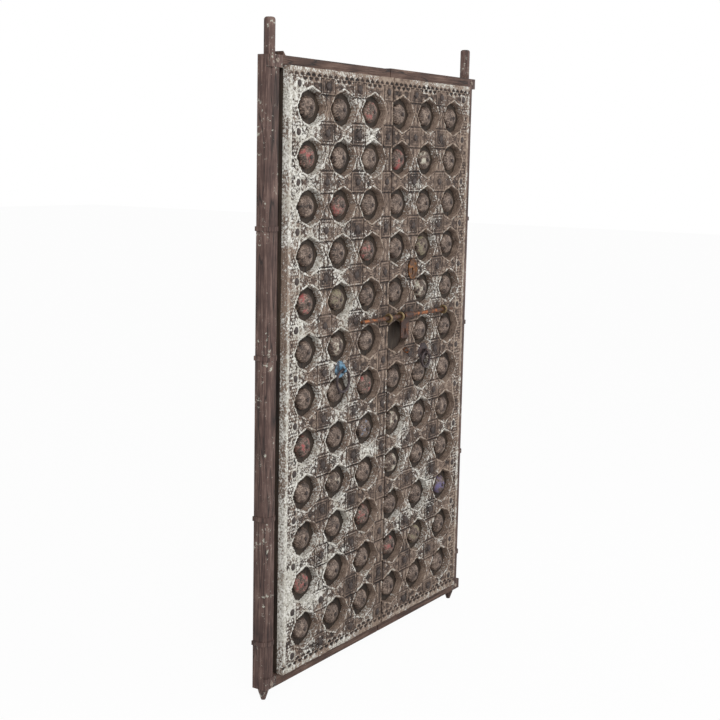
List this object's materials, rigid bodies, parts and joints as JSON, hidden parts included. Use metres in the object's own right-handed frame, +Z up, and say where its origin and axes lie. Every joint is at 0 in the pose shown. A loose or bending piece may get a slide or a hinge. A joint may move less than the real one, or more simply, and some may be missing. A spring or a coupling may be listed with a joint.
{
  "type": "carved temple door",
  "caption": "Two-leaf pivot-hung carved wooden door: nailed lattice over boards, turned bosses in eight-sided pockets, sliding bolt with hasp, ring pulls and keyhole plate.",
  "frame": {"origin": "left leaf's pivot axis, level with the underside of the leaf", "axes": "+X from the left pivot to the right one, +Z up along the pivot, the carved front faces -Y"},
  "size_m": [1.259, 0.1052, 2.096],
  "materials": {
    "frame_wood": "weathered bare brown wood",
    "board_wood": "weathered bare boards",
    "carved_wood": "carved, flaking pale paint over grey-brown wood",
    "boss_wood": "turned, worn paint remnants",
    "peg_wood": "pale end grain",
    "nail_iron": "dark hammered iron",
    "pull_iron": "dark forged iron, traces of blue paint",
    "rusty_iron": "rusty forged iron"
  },
  "bodies": {
    "door": {"left_hinge_stile": "frame_wood", "left_top_rail": "frame_wood", "left_bottom_rail": "frame_wood", "left_back_ledge": "frame_wood", "left_board_1": "board_wood", "left_board_2": "board_wood", "left_upright_1": "carved_wood", "left_upright_2": "carved_wood", "left_upright_3": "carved_wood", "left_upright_4": "carved_wood", "left_cross_bar_1": "carved_wood", "left_cross_bar_2": "carved_wood", "left_cross_bar_3": "carved_wood", "left_cross_bar_4": "carved_wood", "left_cross_bar_5": "carved_wood", "left_cross_bar_6": "carved_wood", "left_cross_bar_7": "carved_wood", "left_cross_bar_8": "carved_wood", "left_cross_bar_9": "carved_wood", "left_cross_bar_10": "carved_wood", "left_cross_bar_11": "carved_wood", "left_cross_bar_12": "carved_wood", "left_cross_bar_13": "carved_wood", "left_bosses": "boss_wood", "left_lattice_nails": "nail_iron", "left_pull_plate": "pull_iron", "right_hinge_stile": "frame_wood", "right_top_rail": "frame_wood", "right_bottom_rail": "frame_wood", "right_back_ledge": "frame_wood", "right_board_1": "board_wood", "right_board_2": "board_wood", "right_upright_1": "carved_wood", "right_upright_2": "carved_wood", "right_upright_3": "carved_wood", "right_cross_bar_1": "carved_wood", "right_cross_bar_2": "carved_wood", "right_cross_bar_3": "carved_wood", "right_cross_bar_4": "carved_wood", "right_cross_bar_5": "carved_wood", "right_cross_bar_6": "carved_wood", "right_cross_bar_7": "carved_wood", "right_cross_bar_8": "carved_wood", "right_cross_bar_9": "carved_wood", "right_cross_bar_10": "carved_wood", "right_cross_bar_11": "carved_wood", "right_cross_bar_12": "carved_wood", "right_cross_bar_13": "carved_wood", "right_bosses": "boss_wood", "right_lattice_nails": "nail_iron", "right_pull_plate": "pull_iron", "boss_nails": "nail_iron", "tenon_pegs": "peg_wood", "bolt_rings": "rusty_iron", "hasp_staple": "rusty_iron", "keyhole_plate": "rusty_iron"},
    "bolt": {"bolt_rod": "rusty_iron"},
    "hasp_arm": {"hasp": "rusty_iron"},
    "left_ring": {"left_pull_ring": "pull_iron"},
    "right_ring": {"right_pull_ring": "pull_iron"}
  },
  "joints": [
    {"name": "bolt_slide", "type": "slide", "parent": "door", "child": "bolt", "axis": [1, 0, 0], "range_m": [0, 0.22]},
    {"name": "hasp_swing", "type": "hinge", "parent": "bolt", "child": "hasp_arm", "pos_m": [0.721, -0.064, 1.12], "axis": [-1, 0, 0], "range_deg": [0, 110]},
    {"name": "left_ring_swing", "type": "hinge", "parent": "door", "child": "left_ring", "pos_m": [0.333, -0.06, 0.976], "axis": [-1, 0, 0], "range_deg": [0, 110]},
    {"name": "right_ring_swing", "type": "hinge", "parent": "door", "child": "right_ring", "pos_m": [0.864, -0.06, 0.976], "axis": [-1, 0, 0], "range_deg": [0, 110]}
  ]
}
